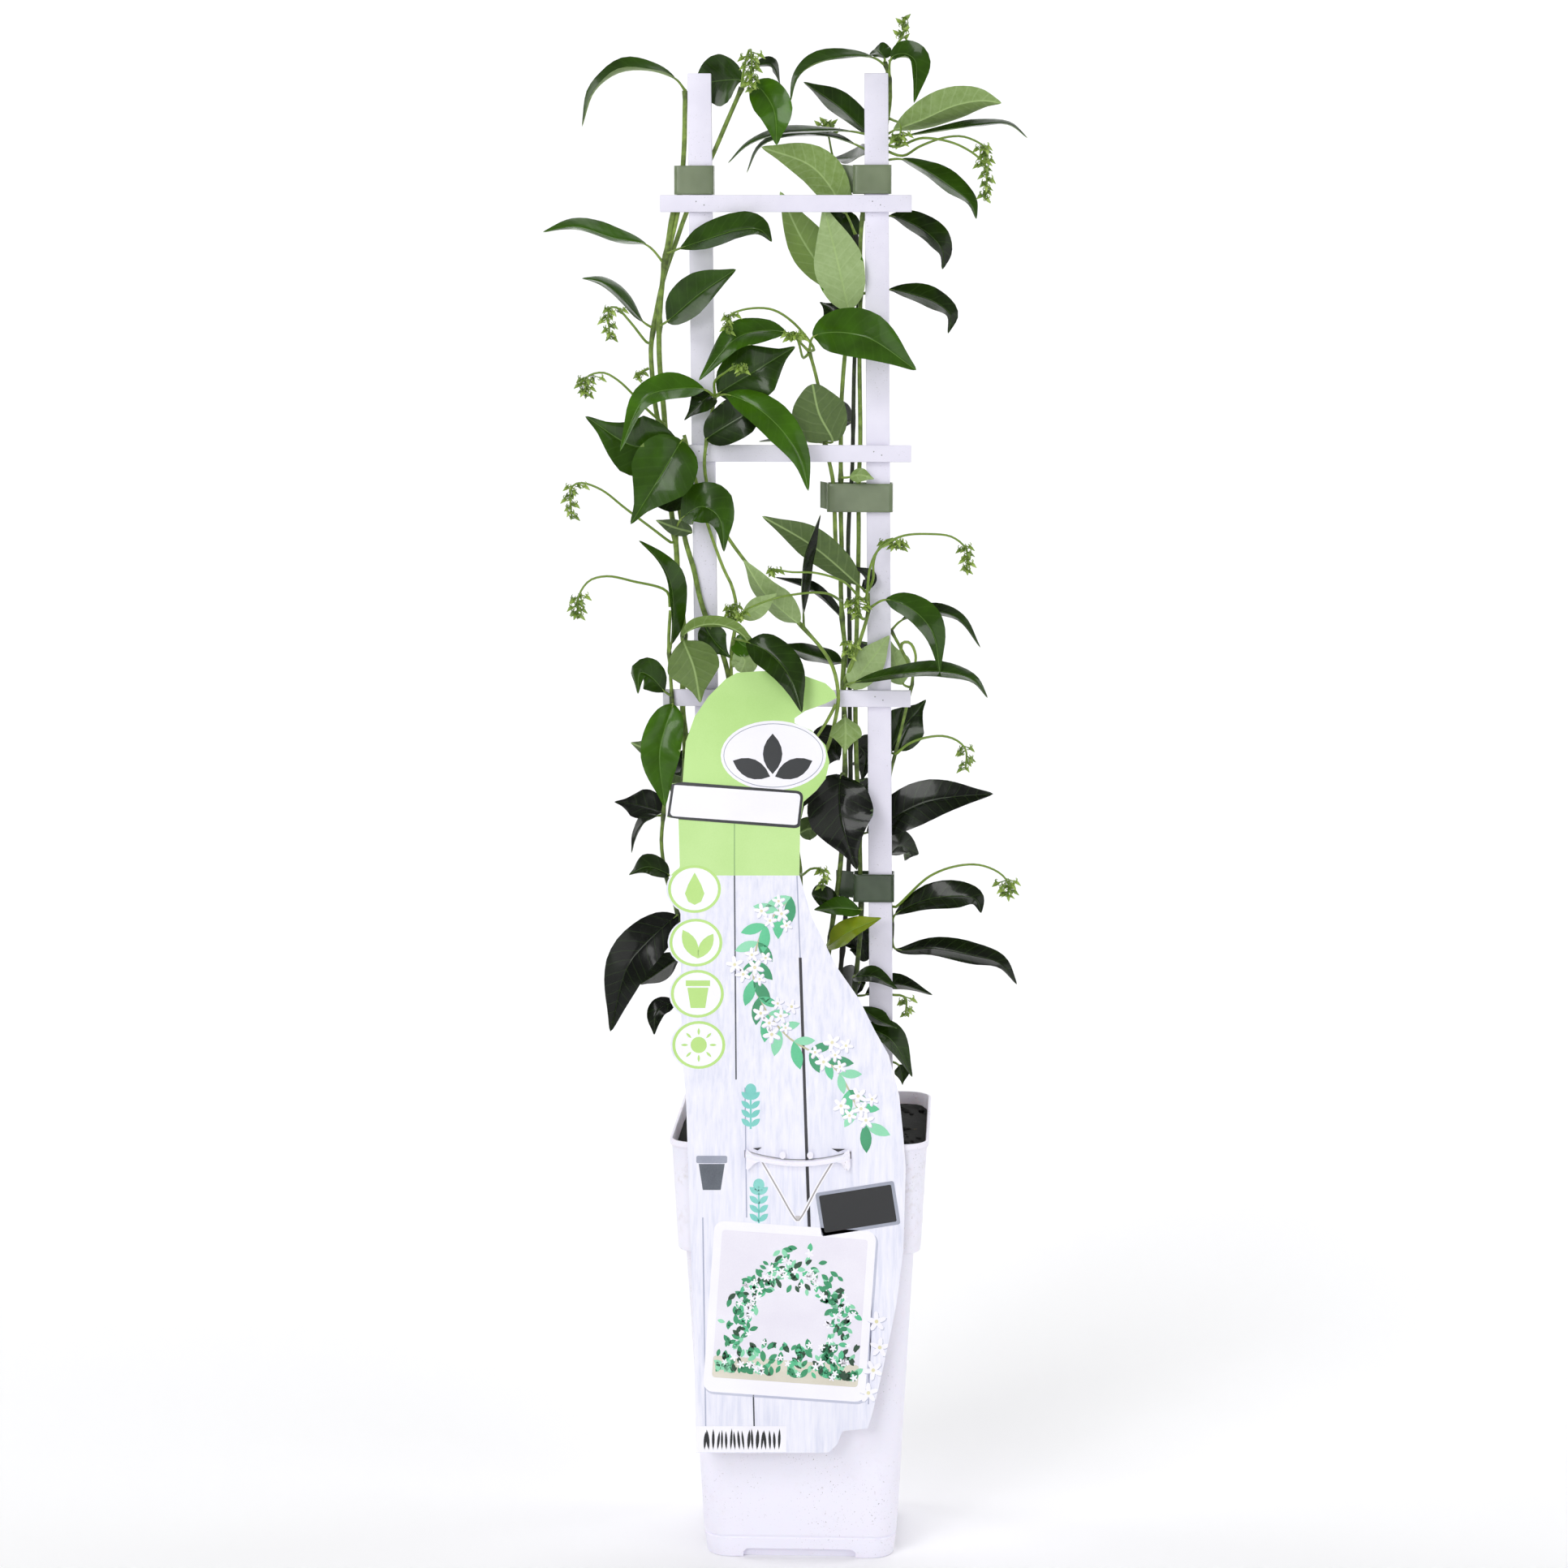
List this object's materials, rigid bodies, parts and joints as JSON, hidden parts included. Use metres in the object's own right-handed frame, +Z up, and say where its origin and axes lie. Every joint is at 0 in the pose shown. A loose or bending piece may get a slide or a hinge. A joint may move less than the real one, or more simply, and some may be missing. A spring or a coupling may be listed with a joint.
{
  "type": "potted star jasmine on a trellis",
  "caption": "Star jasmine with glossy leaves and green flower buds, tied to a white trellis in a square tapered white pot with a card label.",
  "frame": {"origin": "middle of the pot's flat underside", "axes": "+Z up along the trellis, -Y towards the label side, which is the front, +X to the right as seen from the front"},
  "size_m": [0.2775, 0.156, 0.8967],
  "materials": {
    "pot_plastic": "satin",
    "potting_soil": "matte",
    "trellis_plastic": "satin",
    "tape": "glossy",
    "card": "satin",
    "foliage": "glossy",
    "buds": "satin"
  },
  "bodies": {
    "root": {"pot": "pot_plastic", "soil": "potting_soil", "trellis_upright_left": "trellis_plastic", "trellis_upright_right": "trellis_plastic", "trellis_slat_top": "trellis_plastic", "trellis_slat_middle": "trellis_plastic", "trellis_slat_low": "trellis_plastic", "tape_tie_left_top": "tape", "tape_tie_right_top": "tape", "tape_tie_right_middle": "tape", "tape_tie_right_low": "tape", "card_label": "card", "leafy_stem_left_tall": "foliage", "leafy_stem_left_side": "foliage", "leafy_stem_outer_left": "foliage", "leafy_stem_twining": "foliage", "leafy_stem_middle": "foliage", "leafy_stem_right_main": "foliage", "leafy_stem_right_dark": "foliage", "leafy_stem_right_tall": "foliage", "leafy_stem_outer_right": "foliage", "bud_spray_top_centre": "buds", "bud_spray_top_tip": "buds", "bud_spray_top_left": "buds", "bud_spray_right_upper": "buds", "bud_spray_right_outer": "buds", "bud_spray_right_inner": "buds", "bud_spray_left_upper": "buds", "bud_spray_left_middle": "buds", "bud_spray_left_small": "buds", "bud_spray_centre_dark": "buds", "bud_spray_centre_head": "buds", "bud_spray_centre_front": "buds", "bud_spray_left_lower": "buds", "bud_spray_left_arch": "buds", "bud_spray_right_middle": "buds", "bud_spray_right_long": "buds", "bud_spray_right_cluster": "buds", "bud_spray_right_inner_low": "buds", "bud_spray_crossing": "buds", "bud_spray_left_heart": "buds", "bud_spray_right_low": "buds", "bud_spray_right_foot": "buds", "bud_spray_label_side": "buds", "bud_spray_right_bottom": "buds", "bud_spray_crossing_upper": "buds"}
  },
  "joints": []
}
